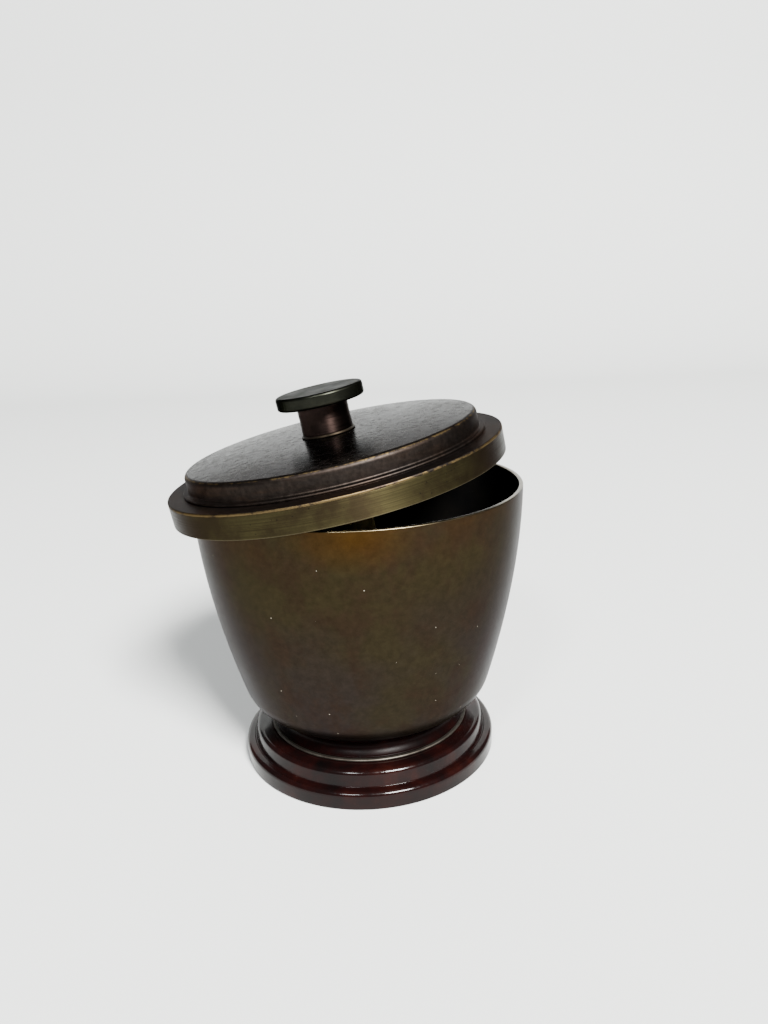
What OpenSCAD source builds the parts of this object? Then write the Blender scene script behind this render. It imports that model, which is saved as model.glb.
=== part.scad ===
// Inkwell: a spun bronze bowl on a stepped foot, with a loose glass well inside
// and a loose lid that carries a knob above and a cork stopper below.
// The origin is the centre of the resting face, and +Z is up. Millimetres.

/* [Bowl] */
// Outer radius of the bowl's lip
rim_r = 39.9; // [37:0.1:40]
// Height of the lip above the table
rim_h = 69.5; // [68:0.1:71]
// Thickness of the bowl's spun wall
bowl_wall = 1.0; // [0.8:0.1:1.4]
// Height at which the side turns under
belly_h = 20.5; // [20:0.1:21]
// How far the side has come in by that height
belly_in = 8.4; // [8:0.1:8.8]
// How late the side comes in, as a power of the depth below the lip
belly_power = 1.77; // [1.6:0.01:2]
// Radius of the turn from side to floor
under_r = 10.0; // [9.6:0.1:10.4]

/* [Foot] */
// Radius of the lower tier
foot_r = 32.3; // [31.5:0.1:34]
// Radius of the upper tier at its base
tier_r = 29.8; // [29:0.1:30]
// Height of the lower tier's edge
foot_h = 4.5; // [4.2:0.1:4.6]
// Height of the upper tier
tier_h = 8.2; // [8:0.1:8.5]
// Radius of the thin ring at the base of the cove
ring_r = 25.5; // [25:0.1:26.5]
// Radius of the cove at its waist
cove_r = 23.2; // [22:0.1:23.8]

/* [Lid] */
// Outer radius of the lid's flange and band
lid_r = 40.7; // [40.6:0.1:42]
// Height of the band and flange together
flange_h = 5.8; // [5:0.1:6.5]
// Radius of the raised disc
disc_r = 35.5; // [34:0.1:36]
// Height of the raised disc above the flange
disc_h = 5.0; // [4:0.1:6]
// How far the middle of the disc stands above its edge
disc_crown = 0.9; // [0.5:0.1:1.2]
// Thickness of the lid's sheet
lid_wall = 0.6; // [0.5:0.1:0.8]
// How far the lid leans, its right side up
lid_tilt = 10.2; // [8:0.1:12]
// How far the lid stands to the left of the bowl's axis
lid_left = 4.3; // [4:0.1:5]
// Distance that the lid's flange clears the lip on its low side
lid_gap = 0.25; // [0.2:0.05:0.5]

/* [Knob] */
// Radius of the knob's head
knob_r = 10.5; // [8:0.1:12]
// Thickness of the knob's head
knob_t = 3.2; // [2.6:0.1:4]
// Radius of the knob's stem
stem_r = 6.15; // [5:0.05:7]
// Height of the stem between the disc and the head
stem_h = 7.5; // [6:0.1:12]

/* [Stopper] */
// Radius of the stopper's rod
rod_r = 5.9; // [5:0.1:6]
// How far the rod reaches below the band
rod_drop = 15.5; // [12:0.1:17]
// Thickness of the cork
cork_t = 5.5; // [4:0.1:6]

/* [Glass well] */
// Outer radius of the glass
well_r = 25.0; // [22:0.1:25]
// Thickness of the glass
glass_t = 2.2; // [1.8:0.1:3]
// Radius of the well's mouth
mouth_r = 6.0; // [5.95:0.05:6.1]

/* [Hidden] */
$fn = 96;
thread_gap = 0.05;
seat_gap = 0.05;

// Bowl
belly_r = rim_r - belly_in;
belly_lean = atan(belly_in * belly_power / (rim_h - belly_h));
turn_x = belly_r - under_r * cos(belly_lean);
turn_z = belly_h + under_r * sin(belly_lean);
floor_z = turn_z - under_r;
floor_top = floor_z + bowl_wall;
side_steps = 18;
turn_steps = 6;

// Foot, collar and the bolt through them
pad_t = 0.9;
pad_r = 30.4;
foot_base = 0.15;
ring_t = 0.6;
collar_base = tier_h + ring_t;
bolt_r = 2.5;
bolt_head_r = 4.8;
bolt_head_h = 2.6;
bolt_hole_r = 2.7;
washer_t = 0.8;
well_bore_r = 6.2;
bore_top = 4.4;
nut_af = 8;
nut_h = 3.0;
nut_base = floor_top + washer_t;
bolt_end = nut_base + nut_h + 0.5;

// Lid, in its own frame: the origin is the centre of the band's lower edge
flange_under = flange_h - lid_wall;
disc_top = flange_h + disc_h;
disc_round = 1.2;
edge_round = 0.35;
crown_steps = 5;
hub_r = 10;
hub_top = disc_top + disc_crown;
hub_under = hub_top - lid_wall;
stem_base = hub_top + 0.6;
head_base = hub_top + stem_h;
head_round = 0.6;
stud_r = 2.5;
rod_top = hub_under - washer_t;
stud_low = rod_top - 8;
rod_low = -rod_drop;
cork_low = rod_low - cork_t;
cork_r = 6.2;
cork_end_r = 5.9;
screw_head_r = 3;
screw_head_h = 1;
screw_r = 1.2;

// Where the leaning lid stands: its flange clears the lip on the low side
lid_x = -lid_left;
lip_reach = (rim_r - lid_left) * sin(lid_tilt);
lid_z = rim_h + (lip_reach - flange_under + lid_gap) / cos(lid_tilt);

// Glass well: its mouth stands just under the cork's low corner
cork_corner = lid_z - cork_end_r * sin(lid_tilt) + cork_low * cos(lid_tilt);
well_top = cork_corner - 0.15;
seat_top = 20.5;
seat_r = 26.5;
seat_lip = 1.5;
seat_bore = 6.6;
well_base = seat_top + seat_gap;
neck_r = 10.5;
neck_h = 6;
shoulder_z = well_top - neck_h - (well_r - neck_r) / 2;
well_floor = 3;

// Points of an arc about [x, z], from angle a to angle b
function arc(x, z, r, a, b, n = 6) =
  [for (i = [0:n]) let (t = a + (b - a) * i / n) [x + r * cos(t), z + r * sin(t)]];

// The bowl's side from the lip down to the turn, moved in by d
function side(d) = [
  for (i = [0:side_steps])
    let (z = rim_h + (belly_h - rim_h) * i / side_steps)
    [rim_r - d - belly_in * pow((rim_h - z) / (rim_h - belly_h), belly_power), z]
];

// The turn from the side to the floor, moved in by d
function turn(d) =
  arc(turn_x, turn_z, under_r - d, -belly_lean, -90, turn_steps);

// The disc's crown outside its flat hub, moved down by d: it falls by a square law
function crown(d) =
  let (reach = disc_r - disc_round - hub_r)
    [for (i = [0:crown_steps - 1])
      [hub_r + reach * i / crown_steps, hub_top - d - disc_crown * pow(i / crown_steps, 2)]];

// A flat ring or washer from height z0 to z1
module ring(outer_r, inner_r, z0, z1) {
  translate([0, 0, z0])
    difference() {
      cylinder(r = outer_r, h = z1 - z0);
      translate([0, 0, -1])
        cylinder(r = inner_r, h = z1 - z0 + 2);
    }
}

// Puts a piece of the lid where the leaning lid stands
module on_lid() {
  translate([lid_x, 0, lid_z])
    rotate([0, -lid_tilt, 0])
      children();
}

// Spun bowl: side, turned-under floor and a hole for the bolt
module body_shell() {
  color([0.30, 0.23, 0.13])
    rotate_extrude()
      polygon(concat(
        side(0), turn(0),
        [[bolt_hole_r, floor_z], [bolt_hole_r, floor_top]],
        [for (i = [turn_steps:-1:0]) turn(bowl_wall)[i]],
        [for (i = [side_steps:-1:0]) side(bowl_wall)[i]]
      ));
}

// Turned cove between the ring and the bowl's floor
module neck_collar() {
  half_h = (floor_z - collar_base) / 2;
  color([0.16, 0.08, 0.05])
    rotate_extrude()
      polygon(concat(
        [[bolt_hole_r, floor_z], [bolt_hole_r, collar_base]],
        [for (i = [-4:4])
          [cove_r + 1.5 * pow(i / 4, 2), collar_base + half_h * (1 + i / 4)]]
      ));
}

// Thin bright ring that the cove stands on, with a half-round edge
module neck_ring() {
  color([0.55, 0.45, 0.28])
    rotate_extrude()
      polygon(concat(
        [[bolt_hole_r, tier_h]],
        arc(ring_r - ring_t / 2, tier_h + ring_t / 2, ring_t / 2, -90, 90),
        [[bolt_hole_r, collar_base]]
      ));
}

// Two-tier turned foot, recessed below for the pad and the bolt's head
module foot_plinth() {
  edge = 0.25;
  low_round = 1.3;
  top_round = 1.3;
  tier_top_r = tier_r - 0.4;
  color([0.25, 0.07, 0.05])
    rotate_extrude()
      polygon(concat(
        [[pad_r + 0.2, foot_base], [foot_r - edge, foot_base], [foot_r, foot_base + edge]],
        arc(foot_r - low_round, foot_h - low_round, low_round, 0, 80),
        [[tier_r, foot_h + 0.35]],
        arc(tier_top_r - top_round, tier_h - top_round, top_round, 5, 90),
        [
          [bolt_hole_r, tier_h], [bolt_hole_r, bore_top],
          [well_bore_r, bore_top], [well_bore_r, pad_t], [pad_r + 0.2, pad_t]
        ]
      ));
}

// Baize pad under the foot
module felt_pad() {
  color([0.10, 0.22, 0.14])
    cylinder(r = pad_r, h = pad_t);
}

// Bolt from under the foot into the bowl
module foot_bolt() {
  head_z = bore_top - washer_t - bolt_head_h;
  color([0.60, 0.50, 0.30]) {
    translate([0, 0, head_z])
      cylinder(r = bolt_head_r, h = bolt_head_h);
    translate([0, 0, head_z])
      cylinder(r = bolt_r, h = bolt_end - head_z);
  }
}

// Washer under the bolt's head
module foot_washer() {
  color([0.70, 0.70, 0.70])
    ring(well_bore_r - 0.3, bolt_hole_r, bore_top - washer_t, bore_top);
}

// Washer on the bowl's floor
module floor_washer() {
  color([0.70, 0.70, 0.70])
    ring(6, bolt_hole_r, floor_top, nut_base);
}

// Hexagon nut on the bowl's floor
module floor_nut() {
  color([0.60, 0.50, 0.30])
    translate([0, 0, nut_base])
      difference() {
        cylinder(r = nut_af / 2 / cos(30), h = nut_h, $fn = 6);
        translate([0, 0, -1])
          cylinder(r = bolt_r + thread_gap, h = nut_h + 2);
      }
}

// Cork ring that the glass stands in, hollow over the nut
module well_seat() {
  color([0.62, 0.45, 0.28])
    rotate_extrude()
      polygon([
        [seat_bore, floor_top], [turn_x - 0.2, floor_top], [seat_r, floor_top + 2.4],
        [seat_r, seat_top + seat_lip], [well_r + 0.25, seat_top + seat_lip],
        [well_r + 0.25, seat_top], [seat_bore, seat_top]
      ]);
}

// Glass ink well with a sloping shoulder and a narrow mouth
module glass_well() {
  base_round = 2;
  color([0.75, 0.85, 0.85, 0.5])
    rotate_extrude()
      polygon(concat(
        [[0, well_base]],
        arc(well_r - base_round, well_base + base_round, base_round, -90, 0, 4),
        arc(well_r - 4, shoulder_z - 4, 4, 0, 60, 4),
        [
          [neck_r, well_top - neck_h], [neck_r, well_top], [mouth_r, well_top],
          [mouth_r, well_top - neck_h - 1]
        ],
        arc(well_r - 4, shoulder_z - 4, 4 - glass_t, 60, 0, 4),
        [[well_r - glass_t, well_base + well_floor], [0, well_base + well_floor]]
      ));
}

// Spun lid: flange, raised and slightly crowned disc, hole for the stud
module lid_top() {
  inner = disc_r - lid_wall;
  color([0.14, 0.09, 0.06])
    on_lid()
      rotate_extrude()
        polygon(concat(
          [[inner, flange_under], [lid_r, flange_under]],
          arc(lid_r - edge_round, flange_h - edge_round, edge_round, 0, 90, 3),
          [[disc_r + 0.9, flange_h], [disc_r + 0.8, flange_h + 0.7], [disc_r, flange_h + 0.9]],
          arc(disc_r - disc_round, disc_top - disc_round, disc_round, 0, 86),
          [for (i = [crown_steps - 1:-1:0]) crown(0)[i]],
          [[stud_r + 0.1, hub_top], [stud_r + 0.1, hub_under]],
          crown(lid_wall),
          arc(disc_r - disc_round, disc_top - disc_round, disc_round - lid_wall, 86, 0, 3)
        ));
}

// Brass band soldered under the flange
module lid_band() {
  color([0.52, 0.45, 0.27])
    on_lid()
      ring(lid_r, lid_r - lid_wall, 0, flange_under);
}

// Flat head of the knob, rounded at both edges, with a blind hole below
module knob_head() {
  color([0.15, 0.15, 0.12])
    on_lid()
      rotate_extrude()
        polygon(concat(
          [[stud_r + thread_gap, head_base]],
          arc(knob_r - head_round, head_base + head_round, head_round, -90, 0, 3),
          arc(knob_r - head_round, head_base + knob_t - head_round, head_round, 0, 90, 3),
          [
            [0, head_base + knob_t], [0, head_base + 2],
            [stud_r + thread_gap, head_base + 2]
          ]
        ));
}

// Stem of the knob
module knob_stem() {
  color([0.18, 0.08, 0.06])
    on_lid()
      ring(stem_r, stud_r + thread_gap, stem_base, head_base);
}

// Thin pale washer under the stem
module knob_washer() {
  color([0.62, 0.54, 0.34])
    on_lid()
      ring(stem_r + 0.4, stud_r + thread_gap, hub_top, stem_base);
}

// Stud from the knob's head, through the lid, into the stopper's rod
module knob_stud() {
  color([0.60, 0.50, 0.30])
    on_lid()
      translate([0, 0, stud_low])
        cylinder(r = stud_r, h = head_base + 1.8 - stud_low);
}

// Washer that spreads the rod's pull under the thin lid
module lid_washer() {
  color([0.62, 0.54, 0.34])
    on_lid()
      ring(hub_r - 1, stud_r + thread_gap, rod_top, hub_under);
}

// Brass rod that carries the cork
module stopper_rod() {
  color([0.55, 0.46, 0.25])
    on_lid()
      difference() {
        translate([0, 0, rod_low])
          cylinder(r = rod_r, h = rod_top - rod_low);
        translate([0, 0, stud_low - 0.3])
          cylinder(r = stud_r + thread_gap, h = rod_top - stud_low + 1);
        translate([0, 0, rod_low - 1])
          cylinder(r = screw_r + thread_gap, h = 8);
      }
}

// Tapered cork that closes the well's mouth
module stopper_cork() {
  color([0.62, 0.45, 0.28])
    on_lid()
      rotate_extrude()
        polygon([
          [screw_r + thread_gap, cork_low], [cork_end_r, cork_low],
          [cork_r, rod_low], [screw_r + thread_gap, rod_low]
        ]);
}

// Screw that holds the cork on the rod
module stopper_screw() {
  color([0.60, 0.50, 0.30])
    on_lid() {
      translate([0, 0, cork_low - screw_head_h])
        cylinder(r = screw_head_r, h = screw_head_h);
      translate([0, 0, cork_low - screw_head_h])
        cylinder(r = screw_r, h = screw_head_h + cork_t + 6);
    }
}

body_shell();
neck_collar();
neck_ring();
foot_plinth();
felt_pad();
foot_bolt();
foot_washer();
floor_washer();
floor_nut();
well_seat();
glass_well();
lid_top();
lid_band();
knob_head();
knob_stem();
knob_washer();
knob_stud();
lid_washer();
stopper_rod();
stopper_cork();
stopper_screw();
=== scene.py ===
"""A lidded bronze inkwell on a stepped foot: the looks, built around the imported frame."""
from math import cos, pi, radians, sin

import bmesh
import bpy
import numpy as np
from mathutils import Matrix, Vector


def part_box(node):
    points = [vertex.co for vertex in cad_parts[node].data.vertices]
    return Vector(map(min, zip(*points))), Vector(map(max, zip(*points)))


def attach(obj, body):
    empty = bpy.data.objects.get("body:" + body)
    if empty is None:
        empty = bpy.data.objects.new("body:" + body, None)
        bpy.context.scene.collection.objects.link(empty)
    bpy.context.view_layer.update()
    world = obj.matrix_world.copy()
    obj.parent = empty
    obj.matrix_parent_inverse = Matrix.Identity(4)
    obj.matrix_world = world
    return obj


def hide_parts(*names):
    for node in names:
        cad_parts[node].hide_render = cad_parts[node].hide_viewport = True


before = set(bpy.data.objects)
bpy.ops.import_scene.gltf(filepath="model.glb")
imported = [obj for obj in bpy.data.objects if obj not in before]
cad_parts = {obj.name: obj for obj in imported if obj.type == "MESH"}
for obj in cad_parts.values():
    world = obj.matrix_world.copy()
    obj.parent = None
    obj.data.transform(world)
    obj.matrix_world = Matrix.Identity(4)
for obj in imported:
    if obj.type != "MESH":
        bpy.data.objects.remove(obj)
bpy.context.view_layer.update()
MM = 0.001


# ---------------------------------------------------------------- studio
# A pale paper sweep that runs from the table up behind the inkwell. A far, wide
# window light falls over the right shoulder, and a weak one over the left.
def grid_mesh(name, points, close_u=False):
    """A mesh from an array of points [u, v, xyz]: one quad between each four
    neighbours, with the last column joined to the first if close_u is set."""
    rows, columns = points.shape[:2]
    index = np.arange(rows * columns).reshape(rows, columns)
    if close_u:
        index = np.vstack([index, index[:1]])
    quads = np.stack(
        [index[:-1, :-1], index[1:, :-1], index[1:, 1:], index[:-1, 1:]], axis=-1
    ).reshape(-1, 4)
    mesh = bpy.data.meshes.new(name)
    mesh.from_pydata(points.reshape(-1, 3), [], quads)
    mesh.polygons.foreach_set("use_smooth", np.ones(len(quads), bool))
    obj = bpy.data.objects.new(name, mesh)
    bpy.context.collection.objects.link(obj)
    return obj


def paper_sweep():
    """A flat stretch from front to back, then a quarter circle of radius bend,
    then a straight rise to top, all 2 * half wide. Sizes are in metres."""
    front, back, bend, top, half = -0.8, 0.75, 0.45, 1.2, 1.1
    turn = np.linspace(0, pi / 2, 24)
    y = np.concatenate([[front], back + bend * np.sin(turn), [back + bend]])
    z = np.concatenate([[0], bend - bend * np.cos(turn), [top]])
    x = np.array([-half, half])
    points = np.zeros((2, len(y), 3))
    points[:, :, 0], points[:, :, 1], points[:, :, 2] = x[:, None], y, z
    return grid_mesh("paper_sweep", points)


sweep = paper_sweep()
sweep_mat = bpy.data.materials.new("pale_paper")
sweep_mat.use_nodes = True
sweep_skin = sweep_mat.node_tree.nodes["Principled BSDF"]
sweep_skin.inputs["Base Color"].default_value = (0.50, 0.51, 0.505, 1)
sweep_skin.inputs["Roughness"].default_value = 0.75
sweep_skin.inputs["Specular IOR Level"].default_value = 0.2
sweep.data.materials.append(sweep_mat)

room = bpy.data.worlds.new("pale_room")
bpy.context.scene.world = room
room.use_nodes = True
room_light = room.node_tree.nodes["Background"]
room_light.inputs["Color"].default_value = (0.93, 0.96, 1.0, 1)
room_light.inputs["Strength"].default_value = 0.20


def soft_light(name, place, target, size, power, color):
    """A square area light at place, turned to face target."""
    data = bpy.data.lights.new(name, "AREA")
    data.shape, data.size, data.energy, data.color = "SQUARE", size, power, color
    lamp = bpy.data.objects.new(name, data)
    way = Vector(target) - Vector(place)
    lamp.location = place
    lamp.rotation_euler = way.to_track_quat("-Z", "Y").to_euler()
    bpy.context.collection.objects.link(lamp)


def from_side(azimuth, elevation, distance):
    """A place seen from the pot: degrees to the right of the front, degrees up."""
    a, e = radians(azimuth), radians(elevation)
    return tuple(distance * v for v in (sin(a) * cos(e), -cos(a) * cos(e), sin(e)))


pot_middle = (0, 0, 0.04)
soft_light("window", from_side(25, 43, 3.0), pot_middle, 0.8, 680.0, (1.0, 0.995, 0.97))
soft_light("far_window", from_side(-22, 44, 3.0), pot_middle, 0.45, 85.0, (0.97, 0.99, 1.0))

# The camera is held in the hand, close to the table and a little above the lid.
eye_back, eye_up = 0.18909, 0.11515
yaw, pitch, roll = 0.03234, 0.27466, 0.04149
look = Vector((sin(yaw) * cos(pitch), cos(yaw) * cos(pitch), -sin(pitch)))
side = look.cross(Vector((0, 0, 1))).normalized()
down = look.cross(side)
right = cos(roll) * side + sin(roll) * down
up = sin(roll) * side - cos(roll) * down
camera_data = bpy.data.cameras.new("camera")
camera_data.sensor_fit = "VERTICAL"
camera_data.sensor_height = 36
camera_data.lens = 27.9
camera_data.clip_start = 0.01
camera = bpy.data.objects.new("camera", camera_data)
turned = Matrix((right, up, -look)).transposed().to_4x4()
camera.matrix_world = Matrix.Translation((0, -eye_back, eye_up)) @ turned
bpy.context.collection.objects.link(camera)
bpy.context.scene.camera = camera


# ---------------------------------------------------------------- bowl
# The bowl is spun from thin bronze sheet over a former and patinated brown.
# Its side comes in as a power of the depth, and turns under to a flat floor.
TURNS = 360
bowl_low, bowl_high = (np.array(c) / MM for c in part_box("body_shell"))
rim_r, rim_h, floor_z = bowl_high[0], bowl_high[2], bowl_low[2]
bowl_wall, lip_round, bolt_hole_r = 1.0, 0.28, 2.7
belly_h, belly_in, belly_power, under_r = 20.5, 8.4, 1.77, 10.0
belly_lean = np.degrees(np.arctan(belly_in * belly_power / (rim_h - belly_h)))
turn_r = rim_r - belly_in - under_r * cos(radians(belly_lean))
turn_z = floor_z + under_r
purple_z, olive_z, warm_z = 16.0, 58.0, 69.0


def arc(r, z, radius, start, end, steps=10):
    """Points of an arc about (r, z), from angle start to angle end in degrees."""
    a = np.radians(np.linspace(start, end, steps + 1))
    return np.stack([r + radius * np.cos(a), z + radius * np.sin(a)], axis=1)


def outline(*parts):
    """One closed outline from points and arcs, in order. Each straight stretch
    over 0.3 mm gets a point close to both of its ends, so that it shades flat."""
    points = np.vstack([np.atleast_2d(np.array(p, float)) for p in parts])
    keep = np.linalg.norm(points - np.roll(points, 1, axis=0), axis=1) > 1e-4
    points = points[keep]
    after = np.roll(points, -1, axis=0)
    span = np.linalg.norm(after - points, axis=1, keepdims=True)
    share = np.minimum(0.06 / span, 0.5)
    near = points + (after - points) * share
    far = after - (after - points) * share
    long = (span[:, 0] > 0.3) & ~((points[:, 0] < 1e-6) & (after[:, 0] < 1e-6))
    rows = [np.stack([p, n, f]) if l else p[None] for p, n, f, l in
            zip(points, near, far, long)]
    return np.vstack(rows)


def lathe(name, profile, wobble=0.0, lift=None):
    """A turned solid: each profile point (r, z) in millimetres goes round the
    axis as (r cos a, r sin a, z). wobble adds a hand-made error of a few low
    waves to r, in millimetres. lift places the points, if they lean."""
    a = np.linspace(0, 2 * pi, TURNS, endpoint=False)[:, None]
    r, z = profile[:, 0][None, :], profile[:, 1][None, :]
    waves = np.sin(2 * a + 0.6) + 0.6 * np.sin(3 * a + 2.1 + z / 14)
    waves = waves + 0.35 * np.sin(5 * a + 4.0 - z / 9) + 0.2 * np.sin(9 * a + z / 5)
    r = np.where(r > 1e-6, r + wobble * waves * np.minimum(r / 10, 1), 0)
    points = np.stack([r * np.cos(a), r * np.sin(a), np.broadcast_to(z, r.shape)], -1)
    if lift is not None:
        points = lift(points)
    obj = grid_mesh(name, np.concatenate([points, points[:, :1]], axis=1) * MM, True)
    tidy_mesh(obj.data)
    return obj


def tidy_mesh(mesh):
    """Joins the points that meet at poles and seams, and turns faces outwards."""
    work = bmesh.new()
    work.from_mesh(mesh)
    bmesh.ops.remove_doubles(work, verts=work.verts, dist=1e-6)
    bmesh.ops.dissolve_degenerate(work, edges=work.edges, dist=1e-7)
    bmesh.ops.recalc_face_normals(work, faces=work.faces)
    if work.calc_volume(signed=True) < 0:
        bmesh.ops.reverse_faces(work, faces=work.faces)
    work.to_mesh(mesh)
    work.free()
    mesh.polygons.foreach_set("use_smooth", np.ones(len(mesh.polygons), bool))


def add_piece(obj, body, slot, *nodes):
    """The piece rides on its body and stands for its nodes. slot is not used."""
    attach(obj, body)
    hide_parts(*nodes)


class Finish:
    """A node material that is written down step by step. Patterns read Object
    coordinates, in metres, and every call returns an output to use further on."""

    def __init__(self, name, **constants):
        self.mat = bpy.data.materials.new(name)
        self.mat.use_nodes = True
        self.tree = self.mat.node_tree
        self.skin = self.tree.nodes["Principled BSDF"]
        self.place = self.tree.nodes.new("ShaderNodeTexCoord").outputs["Object"]
        for key, value in constants.items():
            self.skin.inputs[key.replace("_", " ")].default_value = value

    def node(self, kind, inputs, output=0, **settings):
        made = self.tree.nodes.new(kind)
        for key, value in settings.items():
            setattr(made, key, value)
        for key, value in inputs.items():
            if isinstance(value, bpy.types.NodeSocket):
                self.tree.links.new(value, made.inputs[key])
            else:
                made.inputs[key].default_value = value
        return made.outputs[output]

    def mapped(self, scale=(1, 1, 1), centre=(0, 0, 0), lean=0.0):
        """Object coordinates measured from centre, turned back by lean, scaled."""
        moved = self.node("ShaderNodeVectorMath", {0: self.place, 1: centre},
                          operation="SUBTRACT")
        turned = self.node("ShaderNodeVectorRotate", {"Vector": moved, "Angle": lean},
                           rotation_type="Y_AXIS")
        return self.node("ShaderNodeVectorMath", {0: turned, 1: scale},
                         operation="MULTIPLY")

    def noise(self, vector, scale, detail=4.0, rough=0.55):
        return self.node("ShaderNodeTexNoise", {
            "Vector": vector, "Scale": scale, "Detail": detail, "Roughness": rough})

    def ramp(self, value, *stops):
        """A ramp whose stops are (place, grey) or (place, (r, g, b))."""
        made = self.tree.nodes.new("ShaderNodeValToRGB")
        band = made.color_ramp
        while len(band.elements) < len(stops):
            band.elements.new(0.5)
        for element, (at, tone) in zip(band.elements, stops):
            element.position = at
            tone = (tone,) * 3 if np.isscalar(tone) else tone
            element.color = (*tone, 1)
        self.tree.links.new(value, made.inputs["Fac"])
        return made.outputs["Color"]

    def math(self, operation, a, b=0.0):
        return self.node("ShaderNodeMath", {0: a, 1: b}, operation=operation)

    def mix(self, share, a, b, blend="MIX"):
        """Colour a turning into colour b as share goes from 0 to 1."""
        made = self.tree.nodes.new("ShaderNodeMix")
        made.data_type, made.blend_type = "RGBA", blend
        for key, value in ((0, share), (6, a), (7, b)):
            if isinstance(value, bpy.types.NodeSocket):
                self.tree.links.new(value, made.inputs[key])
            elif key:
                made.inputs[key].default_value = (*value, 1)
            else:
                made.inputs[key].default_value = value
        return made.outputs[2]

    def parts(self, vector):
        made = self.tree.nodes.new("ShaderNodeSeparateXYZ")
        self.tree.links.new(vector, made.inputs[0])
        return made.outputs

    def specks(self, spacing, size, share, vector=None):
        """1 on small round dots and 0 between them. The dots are size across, in
        a share of the cells of a random pattern with that spacing, in metres."""
        vector = self.place if vector is None else vector
        made = self.tree.nodes.new("ShaderNodeTexVoronoi")
        made.inputs["Scale"].default_value = 1 / spacing
        self.tree.links.new(vector, made.inputs["Vector"])
        dot = self.math("LESS_THAN", made.outputs["Distance"], size / spacing / 2)
        pick = self.math("LESS_THAN", self.parts(made.outputs["Color"])[0], share)
        return self.math("MULTIPLY", dot, pick)

    def bump(self, height, depth, under=None):
        inputs = {"Height": height, "Distance": depth, "Strength": 1.0}
        if under is not None:
            inputs["Normal"] = under
        return self.node("ShaderNodeBump", inputs)

    def wire(self, **sockets):
        """Joins outputs to the shader's inputs, by name."""
        for key, value in sockets.items():
            self.tree.links.new(value, self.skin.inputs[key.replace("_", " ")])
        return self.mat


def bowl_patina():
    """Brown bronze patina: purple-brown low down and olive higher up, with red
    and green clouds, orange-brown under the lip, fine mottling and dust."""
    f = Finish("bowl_patina", Metallic=1.0, Specular_Tint=(0.54, 0.54, 0.55, 1))
    cloud = f.noise(f.place, 45, 5, 0.6)
    blotch = f.noise(f.mapped((1, 1, 0.7), (0.3, 0.1, 0.2)), 110, 6, 0.65)
    grain = f.noise(f.place, 620, 6, 0.7)
    height = f.parts(f.place)[2]
    rise = f.node("ShaderNodeMapRange", {
        "Value": height, "From Min": purple_z * MM, "From Max": olive_z * MM})
    tone = f.mix(rise, (0.0175, 0.0135, 0.0130), (0.0180, 0.0134, 0.0074))
    green = f.ramp(f.noise(f.place, 34, 4), (0.45, 0.0), (0.60, 1.0))
    tone = f.mix(f.math("MULTIPLY", green, 0.6), tone, (0.0200, 0.0160, 0.0070))
    red = f.ramp(blotch, (0.47, 0.0), (0.62, 1.0))
    tone = f.mix(f.math("MULTIPLY", red, 0.62), tone, (0.0180, 0.0104, 0.0068))
    near_lip = f.node("ShaderNodeMapRange", {
        "Value": height, "From Min": olive_z * MM, "From Max": warm_z * MM})
    warm = f.ramp(cloud, (0.40, 0.0), (0.58, 1.0))
    warm = f.math("MULTIPLY", warm, near_lip)
    tone = f.mix(f.math("MULTIPLY", warm, 0.75), tone, (0.0260, 0.0138, 0.0055))
    spot = f.mapped((68, 20, 120), (-0.001, -0.039, 0.068))
    handled = f.node("ShaderNodeVectorMath", {0: spot}, output=1, operation="LENGTH")
    handled = f.math("MULTIPLY", f.ramp(handled, (0.10, 1.0), (1.0, 0.0)), 0.8)
    tone = f.mix(handled, tone, (0.0330, 0.0155, 0.0032))
    mottle = f.ramp(grain, (0.30, 0.74), (0.70, 1.20))
    tone = f.mix(0.9, tone, mottle, "MULTIPLY")
    dust = f.specks(0.0034, 0.00024, 0.60, f.mapped((1, 1, 1), (0.013, 0.021, 0.007)))
    tone = f.mix(f.math("MULTIPLY", dust, 0.8), tone, (0.42, 0.38, 0.31))
    rough = f.ramp(cloud, (0.25, 0.30), (0.75, 0.40))
    marks = f.noise(f.mapped((60, 60, 2600)), 1.0, 3)
    fine = f.bump(marks, 0.000008)
    return f.wire(Base_Color=tone, Roughness=rough, Normal=f.bump(grain, 0.000016, fine))


def bowl_dark():
    """The bowl's inside: blackened by ink and tarnish, hardly any shine."""
    f = Finish("bowl_dark", Roughness=0.7, Specular_IOR_Level=0.0)
    stain = f.noise(f.place, 90, 5, 0.6)
    tone = f.ramp(stain, (0.3, (0.0016, 0.0018, 0.0021)), (0.8, (0.0048, 0.0042, 0.0036)))
    return f.wire(Base_Color=tone)


def lip_brass():
    """The lip's edge, rubbed back to thin bright brass."""
    f = Finish("lip_brass", Metallic=1.0, Roughness=0.3)
    wear = f.noise(f.place, 160, 4)
    tone = f.ramp(wear, (0.3, (0.038, 0.030, 0.018)), (0.6, (0.085, 0.068, 0.040)))
    return f.wire(Base_Color=tone)


def paint_by_place(obj, finishes, choose):
    """Gives each face the finish whose number choose(centres) returns."""
    for finish in finishes:
        obj.data.materials.append(finish)
    count = len(obj.data.polygons)
    centres = np.zeros(count * 3)
    obj.data.polygons.foreach_get("center", centres)
    picked = choose(centres.reshape(-1, 3) / MM).astype(np.int32)
    obj.data.polygons.foreach_set("material_index", picked)


def bowl_side(inset, first, last, steps):
    """r = rim radius - inset - belly_in * (share of the depth) ** belly_power."""
    z = np.linspace(first, last, steps)
    share = (rim_h - z) / (rim_h - belly_h)
    return np.stack([rim_r - inset - belly_in * share ** belly_power, z], axis=1)


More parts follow.
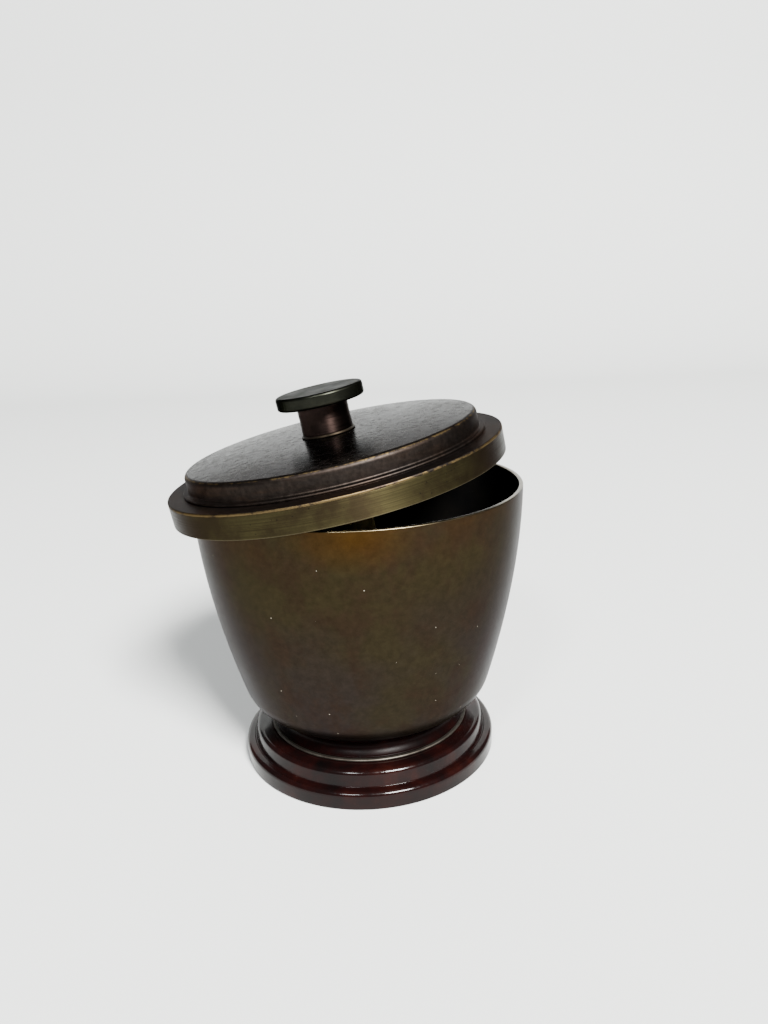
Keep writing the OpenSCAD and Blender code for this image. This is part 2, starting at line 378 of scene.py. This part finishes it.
def bowl_profile():
    """A round lip, the side, the turn under and the flat floor, then back up
    along the inside, as one loop."""
    return outline(
        arc(rim_r - lip_round, rim_h - lip_round, lip_round, 90, 0, 5),
        bowl_side(0, rim_h - 1, belly_h, 60),
        arc(turn_r, turn_z, under_r, -belly_lean, -90, 24),
        (bolt_hole_r, floor_z), (bolt_hole_r, floor_z + bowl_wall),
        arc(turn_r, turn_z, under_r - bowl_wall, -90, -belly_lean, 18),
        bowl_side(bowl_wall, belly_h, rim_h - 1, 40),
        arc(rim_r - bowl_wall + lip_round, rim_h - lip_round, lip_round, 180, 90, 5),
    )


def bowl_zone(centres):
    """0 outside, 1 inside, 2 on the lip: a face is inside if it is nearer the
    axis, or nearer the centre of the turn, than the middle of the wall."""
    r, z = np.hypot(centres[:, 0], centres[:, 1]), centres[:, 2]
    share = np.clip((rim_h - z) / (rim_h - belly_h), 0, 1)
    in_side = r < rim_r - bowl_wall / 2 - belly_in * share ** belly_power
    to_turn = np.hypot(np.maximum(r - turn_r, 0), z - turn_z)
    in_turn = to_turn < under_r - bowl_wall / 2
    inside = np.where(z > belly_h, in_side, in_turn)
    return np.where(z > rim_h - lip_round * 0.6, 2, np.where(inside, 1, 0))


bowl = lathe("bowl", bowl_profile(), wobble=0.04)
paint_by_place(bowl, [bowl_patina(), bowl_dark(), lip_brass()], bowl_zone)
add_piece(bowl, "pot", "bowl_bronze", "body_shell")


# ---------------------------------------------------------------- cove
# A turned collar between bowl and foot, hollowed to a cove, with a narrow fillet
# at each end. Its lacquer is the foot's, duller, with its tones scaled darker as
# painted shade in the hollow under the bowl.
def oxblood(name="oxblood", shade=0.68, gloss=0.13, rough=0.11):
    """Deep red-brown lacquer over bronze: darker in clouds, with rubbed pale
    brown spots and fine scratches. shade scales its tones, gloss its shine."""
    f = Finish(name, Specular_IOR_Level=gloss)
    cloud = f.noise(f.place, 130, 5, 0.6)
    tones = ((0.32, (0.0018, 0.0012, 0.0012)), (0.52, (0.0052, 0.0014, 0.0013)),
             (0.74, (0.0125, 0.0026, 0.0018)))
    tone = f.ramp(cloud, *[(at, tuple(shade * v for v in t)) for at, t in tones])
    spots = f.specks(0.0046, 0.00055, 0.30)
    tone = f.mix(f.math("MULTIPLY", spots, 0.7), tone, (0.12, 0.08, 0.05))
    fine = f.noise(f.place, 1300, 4, 0.6)
    haze = f.ramp(fine, (0.3, rough), (0.8, rough + 0.1))
    ripple = f.noise(f.mapped((110, 110, 160)), 1.0, 2)
    normal = f.bump(fine, 0.000005, f.bump(ripple, 0.00009))
    return f.wire(Base_Color=tone, Roughness=haze, Normal=normal)


collar_low, collar_high = (np.array(c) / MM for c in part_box("neck_collar"))
collar_r = collar_high[0]
cove_r = 23.2
cove_steps = 24
cove_z = np.linspace(collar_low[2] + 0.35, collar_high[2] - 0.25, cove_steps)
cove_share = np.linspace(-1, 1, cove_steps)
cove = lathe("cove", outline(
    (bolt_hole_r, collar_high[2]), (bolt_hole_r, collar_low[2]),
    (collar_r, collar_low[2]), (collar_r, collar_low[2] + 0.3),
    np.stack([cove_r + (collar_r - 0.25 - cove_r) * cove_share ** 2, cove_z], axis=1),
    (collar_r, collar_high[2]),
), wobble=0.02)
# Tones scaled by 0.45 against the foot's 0.68: painted shade under the bowl.
cove.data.materials.append(oxblood("cove_lacquer_shaded", 0.45, 0.025, 0.30))
add_piece(cove, "pot", "cove_bronze", "neck_collar")


# ---------------------------------------------------------------- ring
# A thin brass ring with a half-round edge, on which the cove stands. Its
# lacquer is rubbed through, so it shows as a pale line.
def rubbed_brass(name, low, high, rough=0.34, scale=300):
    """Old brass between two tones: dull in the hollows, rubbed on the rest."""
    f = Finish(name, Metallic=1.0)
    wear = f.noise(f.place, scale, 5, 0.65)
    tone = f.ramp(wear, (0.32, low), (0.62, high))
    haze = f.ramp(wear, (0.3, rough + 0.12), (0.7, rough))
    return f.wire(Base_Color=tone, Roughness=haze, Normal=f.bump(wear, 0.00002))


ring_low, ring_high = (np.array(c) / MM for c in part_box("neck_ring"))
ring_half = (ring_high[2] - ring_low[2]) / 2
ring = lathe("pale_ring", outline(
    (bolt_hole_r, ring_low[2]),
    arc(ring_high[0] - ring_half, ring_low[2] + ring_half, ring_half, -90, 90, 12),
    (bolt_hole_r, ring_high[2]),
), wobble=0.02)
ring.data.materials.append(rubbed_brass("ring_brass", (0.022, 0.018, 0.015),
                                        (0.065, 0.058, 0.049), 0.5, 140))
add_piece(ring, "pot", "bare_brass", "neck_ring")


# ---------------------------------------------------------------- foot
# A two-tier foot, turned in one piece and lacquered oxblood. Each tier has a
# rounded top edge, and a shallow groove runs at the foot of the upper tier.
foot_low, foot_high = (np.array(c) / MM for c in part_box("foot_plinth"))
foot_r, foot_base, tier_h = foot_high[0], foot_low[2], foot_high[2]
pad_high = np.array(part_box("felt_pad")[1]) / MM
pad_r, pad_t = pad_high[0], pad_high[2]
foot_h, tier_r, tier_top_r = 4.5, 29.8, 29.4
low_round, top_round, foot_edge = 1.3, 1.3, 0.25
bolt_well_r, bolt_well_top = 6.2, 4.4
foot = lathe("foot", outline(
    (pad_r + 0.2, foot_base),
    arc(foot_r - foot_edge, foot_base + foot_edge, foot_edge, -90, 0, 5),
    arc(foot_r - low_round, foot_h - low_round, low_round, 0, 82, 12),
    (tier_r + 0.5, foot_h + 0.10),
    arc(tier_r + 0.25, foot_h + 0.18, 0.22, -60, -130, 4),
    (tier_r, foot_h + 0.45),
    arc(tier_top_r - top_round, tier_h - top_round, top_round, 4, 90, 12),
    (ring_high[0] + 0.25, tier_h), (ring_high[0] - 0.6, tier_h - 0.05),
    (bolt_hole_r, tier_h - 0.05), (bolt_hole_r, bolt_well_top),
    (bolt_well_r, bolt_well_top), (bolt_well_r, pad_t), (pad_r + 0.2, pad_t),
), wobble=0.03)
foot.data.materials.append(oxblood())
add_piece(foot, "pot", "foot_lacquer", "foot_plinth")


# ---------------------------------------------------------------- baize
# A disc of green baize, glued under the foot so that it does not scratch the
# desk. Its cut edge is a little fuzzy and rounded.
def baize():
    """Short green nap: fine fibres both ways, worn paler in patches."""
    f = Finish("baize", Roughness=0.95, Sheen_Weight=0.4, Sheen_Roughness=0.4)
    fibre = f.noise(f.place, 2600, 6, 0.75)
    worn = f.noise(f.place, 120, 4)
    tone = f.ramp(fibre, (0.3, (0.012, 0.040, 0.020)), (0.75, (0.040, 0.110, 0.055)))
    tone = f.mix(f.ramp(worn, (0.5, 0.0), (0.8, 0.5)), tone, (0.10, 0.14, 0.08))
    return f.wire(Base_Color=tone, Normal=f.bump(fibre, 0.0002))


pad_edge = 0.2
pad = lathe("baize_pad", outline(
    (0, 0), arc(pad_r - pad_edge, pad_edge, pad_edge, -90, 0, 4),
    arc(pad_r - pad_edge, pad_t - pad_edge, pad_edge, 0, 90, 4), (0, pad_t),
))
pad.data.materials.append(baize())
add_piece(pad, "pot", "baize", "felt_pad")


# ---------------------------------------------------------------- fixings
# Machine-made brass bolt, nut and screw, and plain steel washers. They keep
# the shapes of the frame's own nodes, and only get their metals here.
def steel():
    """Plain rolled steel washers, dulled, with fine rolling marks."""
    f = Finish("dull_steel", Metallic=1.0)
    marks = f.noise(f.mapped((200, 3000, 200)), 1.0, 4)
    tone = f.ramp(marks, (0.3, (0.30, 0.30, 0.29)), (0.7, (0.48, 0.48, 0.47)))
    rough = f.ramp(marks, (0.3, 0.5), (0.7, 0.32))
    return f.wire(Base_Color=tone, Roughness=rough, Normal=f.bump(marks, 0.00001))


fixing_brass = rubbed_brass("fixing_brass", (0.20, 0.13, 0.05), (0.62, 0.47, 0.22))
washer_steel = steel()
for node, finish in (
    ("foot_bolt", fixing_brass), ("floor_nut", fixing_brass),
    ("knob_stud", fixing_brass), ("lid_washer", fixing_brass),
    ("stopper_screw", fixing_brass),
    ("foot_washer", washer_steel), ("floor_washer", washer_steel),
):
    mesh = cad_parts[node].data
    mesh.materials.clear()
    mesh.materials.append(finish)


# ---------------------------------------------------------------- well seat
# A ring of pressed cork on the bowl's floor, with a raised lip that keeps the
# glass well in the middle. It is hollow over the nut.
def cork():
    """Pressed cork: packed grains of many browns, with dark pits between."""
    f = Finish("cork", Roughness=0.85)
    cells = f.tree.nodes.new("ShaderNodeTexVoronoi")
    cells.inputs["Scale"].default_value = 750
    f.tree.links.new(f.place, cells.inputs["Vector"])
    shade = f.parts(cells.outputs["Color"])[0]
    tone = f.ramp(shade, (0.0, (0.22, 0.11, 0.05)), (1.0, (0.52, 0.33, 0.17)))
    pits = f.ramp(f.noise(f.place, 500, 5, 0.7), (0.33, 0.25), (0.45, 1.0))
    tone = f.mix(1.0, tone, pits, "MULTIPLY")
    return f.wire(Base_Color=tone, Normal=f.bump(pits, 0.0002))


seat_low, seat_high = (np.array(c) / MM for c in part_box("well_seat"))
well_low, well_high = (np.array(c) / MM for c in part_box("glass_well"))
well_r, well_base, well_top = well_high[0], well_low[2], well_high[2]
seat_r, seat_lip, seat_bore = seat_high[0], 1.5, 6.6
seat_top = seat_high[2] - seat_lip
seat = lathe("cork_seat", outline(
    (seat_bore, seat_low[2]), (turn_r - 0.2, seat_low[2]),
    arc(seat_r - 0.5, seat_low[2] + 2.6, 0.5, -40, 0, 3),
    arc(seat_r - 0.4, seat_high[2] - 0.4, 0.4, 0, 90, 4),
    (well_r + 0.25, seat_high[2]), (well_r + 0.25, seat_top), (seat_bore, seat_top),
), wobble=0.02)
seat.data.materials.append(cork())
add_piece(seat, "pot", "cork", "well_seat")


# ---------------------------------------------------------------- glass well
# A squat pressed-glass well with thick walls, a sloping shoulder and a ground
# mouth that the cork shuts. It stands loose in its seat.
def well_glass():
    """Clear pressed glass with a faint green tint and a dried ink stain."""
    f = Finish("well_glass", Transmission_Weight=1.0, IOR=1.5, Roughness=0.03)
    stain = f.noise(f.place, 120, 4)
    tone = f.ramp(stain, (0.35, (0.90, 0.95, 0.93)), (0.80, (0.55, 0.62, 0.66)))
    ripple = f.noise(f.place, 70, 2)
    return f.wire(Base_Color=tone, Normal=f.bump(ripple, 0.0002))


glass_t, mouth_r, neck_r, neck_h, well_floor = 2.2, 6.0, 10.5, 6.0, 3.0
shoulder_z = well_top - neck_h - (well_r - neck_r) / 2
shoulder_c = (well_r - 4, shoulder_z - 4)
well = lathe("ink_glass", outline(
    (0, well_base + 0.6), (well_r - 6, well_base + 0.6), (well_r - 4, well_base),
    arc(well_r - 2, well_base + 2, 2, -90, 0, 8),
    arc(*shoulder_c, 4, 0, 60, 10),
    arc(neck_r + 1.0, well_top - neck_h + 1.0, 1.0, 240, 180, 6),
    arc(neck_r - 0.6, well_top - 0.6, 0.6, 0, 90, 5),
    arc(mouth_r + 0.4, well_top - 0.4, 0.4, 90, 180, 4),
    arc(mouth_r + 1.0, well_top - neck_h - 0.5, 1.0, 180, 240, 5),
    arc(*shoulder_c, 4 - glass_t, 60, 0, 8),
    arc(well_r - glass_t - 2, well_base + well_floor + 2, 2, 0, -90, 8),
    (0, well_base + well_floor),
))
well.data.materials.append(well_glass())
add_piece(well, "well", "well_glass", "glass_well")


# ---------------------------------------------------------------- lid
# The lid is spun from thin bronze: a flange, a small fillet, and a raised disc
# with a soft edge. It leans on the bowl's lip, so its pieces are turned upright
# first and then leaned over together.
lid_lean = radians(10.2)
flange_h, disc_h, lid_wall = 5.8, 5.0, 0.6
disc_r, disc_crown, hub_r = 35.5, 0.9, 10.0
disc_top, band_h = flange_h + disc_h, flange_h - lid_wall
hub_top, hub_under = disc_top + disc_crown, disc_top + disc_crown - lid_wall
disc_round, edge_round, fillet_round, hollow_round = 1.2, 0.35, 0.4, 0.45
stud_hole = 2.6
band_low, band_high = (np.array(c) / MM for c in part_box("lid_band"))
lid_r = (band_high[1] - band_low[1]) / 2
lid_up = np.array([-sin(lid_lean), 0, cos(lid_lean)])
lid_along = np.array([cos(lid_lean), 0, sin(lid_lean)])
lid_place = (band_low + band_high) / 2 - lid_up * band_h / 2


def lean_over(points):
    """Upright points turned about Y by the lid's lean and put at its place:
    place + x along + y + z up, in millimetres."""
    x, y, z = points[..., 0:1], points[..., 1:2], points[..., 2:3]
    return lid_place + x * lid_along + y * np.array([0, 1, 0]) + z * lid_up


def on_lid(finish, scale=(1, 1, 1)):
    """Coordinates measured from the lid's own centre, turned upright."""
    return finish.mapped(scale, tuple(lid_place * MM), lid_lean)


def lid_chocolate():
    """Near-black brown patina under an old polish: it mirrors at a low angle.
    Small dents and scratches in the top, and gold where the edges are rubbed."""
    f = Finish("lid_chocolate", Metallic=1.0, Specular_Tint=(0.43, 0.43, 0.435, 1))
    own = on_lid(f)
    x, y, z = f.parts(own)
    radius = f.math("SQRT", f.math("ADD", f.math("MULTIPLY", x, x),
                                   f.math("MULTIPLY", y, y)))
    cloud = f.noise(own, 75, 5, 0.6)
    tone = f.ramp(cloud, (0.3, (0.0190, 0.0170, 0.0158)), (0.7, (0.0265, 0.0225, 0.0195)))
    side = f.node("ShaderNodeMapRange", {
        "Value": radius, "From Min": (disc_r - 1) * MM, "From Max": (disc_r - 0.3) * MM})
    streak = f.noise(on_lid(f, (50, 50, 300)), 1.0, 6, 0.65)
    red = f.ramp(streak, (0.34, (0.0125, 0.0105, 0.0095)), (0.50, (0.0165, 0.0125, 0.0105)),
                 (0.68, (0.0250, 0.0158, 0.0112)))
    tone = f.mix(side, tone, red)
    speckle = f.ramp(f.noise(own, 900, 6, 0.75), (0.35, 0.6), (0.68, 1.5))
    tone = f.mix(0.9, tone, speckle, "MULTIPLY")
    chips = f.noise(own, 520, 6, 0.72)
    from_edge = f.math("ABSOLUTE", f.math("SUBTRACT", radius, (disc_r - 0.4) * MM))
    near_edge = f.math("SUBTRACT", 1.0, f.math("MULTIPLY", from_edge, 1500.0))
    high = f.node("ShaderNodeMapRange", {
        "Value": z, "From Min": (disc_top - 1.4) * MM, "From Max": (disc_top - 0.7) * MM})
    top_wear = f.math("MULTIPLY", f.math("MAXIMUM", near_edge, 0.0), high)
    rim_edge = f.node("ShaderNodeMapRange", {
        "Value": radius, "From Min": (lid_r - 0.4) * MM, "From Max": (lid_r - 0.04) * MM})
    flank = f.math("MULTIPLY", side, f.ramp(streak, (0.55, 0.0), (0.75, 0.26)))
    wear = f.math("ADD", f.math("MULTIPLY", top_wear, 0.50),
                  f.math("MULTIPLY", rim_edge, 0.50))
    wear = f.math("ADD", wear, flank)
    gold = f.ramp(f.math("ADD", wear, f.math("MULTIPLY", chips, 0.9)),
                  (0.86, 0.0), (0.98, 1.0))
    tone = f.mix(gold, tone, (0.080, 0.056, 0.026))
    dents = f.specks(0.0095, 0.0010, 0.45, f.mapped((1, 2.2, 1), (0.3, 0.1, 0), 0.4))
    scratch = f.noise(f.mapped((300, 40, 300), (0, 0, 0), lid_lean), 1.0, 3)
    normal = f.bump(f.noise(own, 35, 2), 0.00010)
    normal = f.bump(f.noise(own, 420, 4, 0.6), 0.000008, normal)
    normal = f.bump(scratch, 0.000012, normal)
    normal = f.bump(f.math("MULTIPLY", dents, -1.0), 0.00005, normal)
    rough = f.mix(0.5, f.ramp(cloud, (0.3, 0.16), (0.7, 0.30)),
                  f.ramp(chips, (0.35, 0.12), (0.65, 0.42)))
    dull = (0.52, 0.52, 0.52)
    rough = f.mix(f.math("MULTIPLY", side, 0.85), rough, dull)
    return f.wire(Base_Color=tone, Roughness=rough, Normal=normal)


def crown(inset, steps):
    """z = hub top - inset - crown * (share of the way from hub to edge) ** 2."""
    share = np.linspace(1, 0, steps)[1:]
    r = hub_r + share * (disc_r - disc_round - hub_r)
    return np.stack([r, hub_top - inset - disc_crown * share ** 2], axis=1)


lid = lathe("lid", outline(
    (disc_r - lid_wall, flange_h - lid_wall), (lid_r, flange_h - lid_wall),
    arc(lid_r - edge_round, flange_h - edge_round, edge_round, 0, 90, 6),
    (disc_r + 1.5, flange_h - 0.04),
    arc(disc_r + 0.9, flange_h + 0.35, fillet_round, -60, 60, 6),
    arc(disc_r + hollow_round, flange_h + 1.15, hollow_round, 250, 180, 6),
    arc(disc_r - disc_round, disc_top - disc_round, disc_round, 0, 86, 14),
    crown(0, 24), (stud_hole, hub_top), (stud_hole, hub_under),
    crown(lid_wall, 12)[::-1],
    arc(disc_r - disc_round, disc_top - disc_round, disc_round - lid_wall, 86, 0, 6),
), wobble=0.03, lift=lean_over)
lid.data.materials.append(lid_chocolate())
add_piece(lid, "lid", "lid_bronze", "lid_top")


# ---------------------------------------------------------------- band
# A strip of brass, rolled into a hoop and soldered under the flange, left bare
# and brushed round. It slips over the bowl's lip when the lid is shut.
def brushed_band():
    """Tarnished brass brushed along the hoop: long fine streaks round it, brown
    clouds, painted shade that makes it browner and darker towards its left and
    right, a painted highlight along its lower edge, and dark pits."""
    f = Finish("brushed_band", Metallic=1.0, Specular_Tint=(0.51, 0.51, 0.51, 1),
               Anisotropic=0.7, Anisotropic_Rotation=0.25)
    own = on_lid(f)
    x, _, z = f.parts(own)
    streak = f.noise(on_lid(f, (34, 34, 6200)), 1.0, 6, 0.62)
    cloud = f.noise(own, 90, 6, 0.62)
    tone = f.ramp(streak, (0.30, (0.0160, 0.0132, 0.0062)), (0.70, (0.0385, 0.0325, 0.0146)))
    brown = f.ramp(cloud, (0.44, 0.0), (0.60, 0.9))
    tone = f.mix(brown, tone, (0.0165, 0.0120, 0.0066))
    # Painted shade: the hoop is painted browner and darker towards its left and right as
    # seen from the front, where it turns away.
    shaded_ends = f.node("ShaderNodeMapRange", {
        "Value": f.math("ABSOLUTE", x), "From Min": 0.027, "From Max": 0.035})
    tone = f.mix(f.math("MULTIPLY", shaded_ends, 0.85), tone, (0.0160, 0.0092, 0.0066))
    # Painted highlight: a bright brass line along the hoop's rounded lower edge.
    low = f.node("ShaderNodeMapRange", {
        "Value": z, "From Min": 0.0003, "From Max": 0.00008})
    tone = f.mix(f.math("MULTIPLY", low, 0.6), tone, (0.080, 0.068, 0.040))
    patches = f.noise(f.mapped((1, 1, 1), (0.2, 0.4, 0.1)), 85, 2)
    cluster = f.ramp(patches, (0.44, 0.0), (0.54, 1.0))
    pits = f.math("MULTIPLY", f.specks(0.0011, 0.00034, 0.42), cluster)
    tone = f.mix(f.math("MULTIPLY", pits, 0.85), tone, (0.008, 0.006, 0.004))
    rough = f.ramp(streak, (0.3, 0.30), (0.7, 0.46))
    normal = f.bump(streak, 0.000034)
    normal = f.bump(f.math("MULTIPLY", pits, -1.0), 0.00004, normal)
    return f.wire(Base_Color=tone, Roughness=rough, Normal=normal)


band_edge = 0.18
band = lathe("band", outline(
    (lid_r - lid_wall, band_h),
    arc(lid_r - lid_wall + band_edge, band_edge, band_edge, 180, 270, 4),
    arc(lid_r - band_edge, band_edge, band_edge, 270, 360, 4), (lid_r, band_h),
), wobble=0.03, lift=lean_over)
band.data.materials.append(brushed_band())
add_piece(band, "lid", "brushed_brass", "lid_band")


# ---------------------------------------------------------------- knob
# A flat disc on a short stem, turned from bronze rod: the head dark grey-green,
# the stem dark red-brown, with a thin brass collet, dulled, under it.
def knob_patina(name, low, high, edge, brush=0.0):
    """Dark patina between two tones, with turning marks round the knob. edge is
    how much it mirrors at a low angle, brush how far the marks draw light out."""
    f = Finish(name, Metallic=1.0, Specular_Tint=(edge, edge, edge, 1),
               Anisotropic=brush, Anisotropic_Rotation=0.25)
    own = on_lid(f)
    cloud = f.noise(own, 210, 5, 0.6)
    lines = f.noise(on_lid(f, (150, 150, 4200)), 1.0, 4)
    tone = f.ramp(cloud, (0.32, low), (0.72, high))
    rough = f.ramp(lines, (0.3, 0.28), (0.7, 0.46))
    return f.wire(Base_Color=tone, Roughness=rough, Normal=f.bump(lines, 0.000016))


knob_r, knob_t, stem_h, collet_t = 10.5, 3.2, 7.5, 0.6
stem_r, stem_base, head_base = 6.15, hub_top + collet_t, hub_top + stem_h
stud_r, stud_reach, head_round = 2.55, 2.0, 0.65
collet = lathe("knob_collet", outline(
    (stud_r, hub_top), arc(stem_r + 0.15, hub_top + 0.25, 0.25, -90, 0, 3),
    arc(stem_r + 0.05, stem_base - 0.15, 0.15, 0, 90, 3), (stud_r, stem_base),
), lift=lean_over)
collet.data.materials.append(rubbed_brass("collet_brass", (0.005, 0.004, 0.003),
                                          (0.017, 0.013, 0.009), 0.55, 420))
add_piece(collet, "lid", "bare_brass", "knob_washer")

stem = lathe("knob_post", outline(
    (stud_r, stem_base), arc(stem_r - 0.15, stem_base + 0.15, 0.15, -90, 0, 4),
    (stem_r - 0.06, (stem_base + head_base) / 2), (stem_r, head_base),
    (stud_r, head_base),
), wobble=0.015, lift=lean_over)
stem.data.materials.append(knob_patina("stem_patina", (0.0125, 0.0085, 0.0075),
                                       (0.0280, 0.0180, 0.0155), 0.50, 0.7))
add_piece(stem, "lid", "stem_bronze", "knob_stem")

head = lathe("knob_disc", outline(
    (stud_r, head_base),
    arc(knob_r - head_round, head_base + head_round, head_round, -90, 0, 8),
    arc(knob_r - head_round, head_base + knob_t - head_round, head_round, 0, 90, 8),
    (knob_r * 0.5, head_base + knob_t - 0.02), (0, head_base + knob_t),
    (0, head_base + stud_reach), (stud_r, head_base + stud_reach),
), wobble=0.02, lift=lean_over)
head.data.materials.append(knob_patina("head_patina", (0.0095, 0.0100, 0.0078),
                                       (0.0180, 0.0185, 0.0140), 0.30))
add_piece(head, "lid", "knob_bronze", "knob_head")


# ---------------------------------------------------------------- stopper
# A brass rod screwed to the knob's stud under the lid, with a tapered cork held
# to its end by a screw. The cork shuts the glass well.
rod_r, rod_top, rod_low, cork_t = 5.9, hub_under - 0.8, -15.5, 5.5
cork_r, cork_end_r, screw_r, screw_in = 6.2, 5.9, 1.25, 7.0
stud_low = rod_top - 8.3
rod = lathe("stopper_post", outline(
    (stud_r, rod_top), (stud_r, stud_low), (0, stud_low), (0, rod_low + screw_in),
    (screw_r, rod_low + screw_in), (screw_r, rod_low),
    arc(rod_r - 0.3, rod_low + 0.3, 0.3, -90, 0, 4),
    arc(rod_r - 0.3, rod_top - 0.3, 0.3, 0, 90, 4),
), lift=lean_over)
rod.data.materials.append(rubbed_brass("rod_brass", (0.34, 0.25, 0.08),
                                       (0.78, 0.62, 0.24), 0.36, 150))
add_piece(rod, "lid", "bare_brass", "stopper_rod")

plug = lathe("stopper_plug", outline(
    (screw_r, rod_low), (screw_r, rod_low - cork_t),
    arc(cork_end_r - 0.3, rod_low - cork_t + 0.3, 0.3, -90, 0, 4),
    arc(cork_r - 0.2, rod_low - 0.2, 0.2, 0, 90, 3),
), wobble=0.02, lift=lean_over)
plug.data.materials.append(cork())
add_piece(plug, "lid", "cork", "stopper_cork")
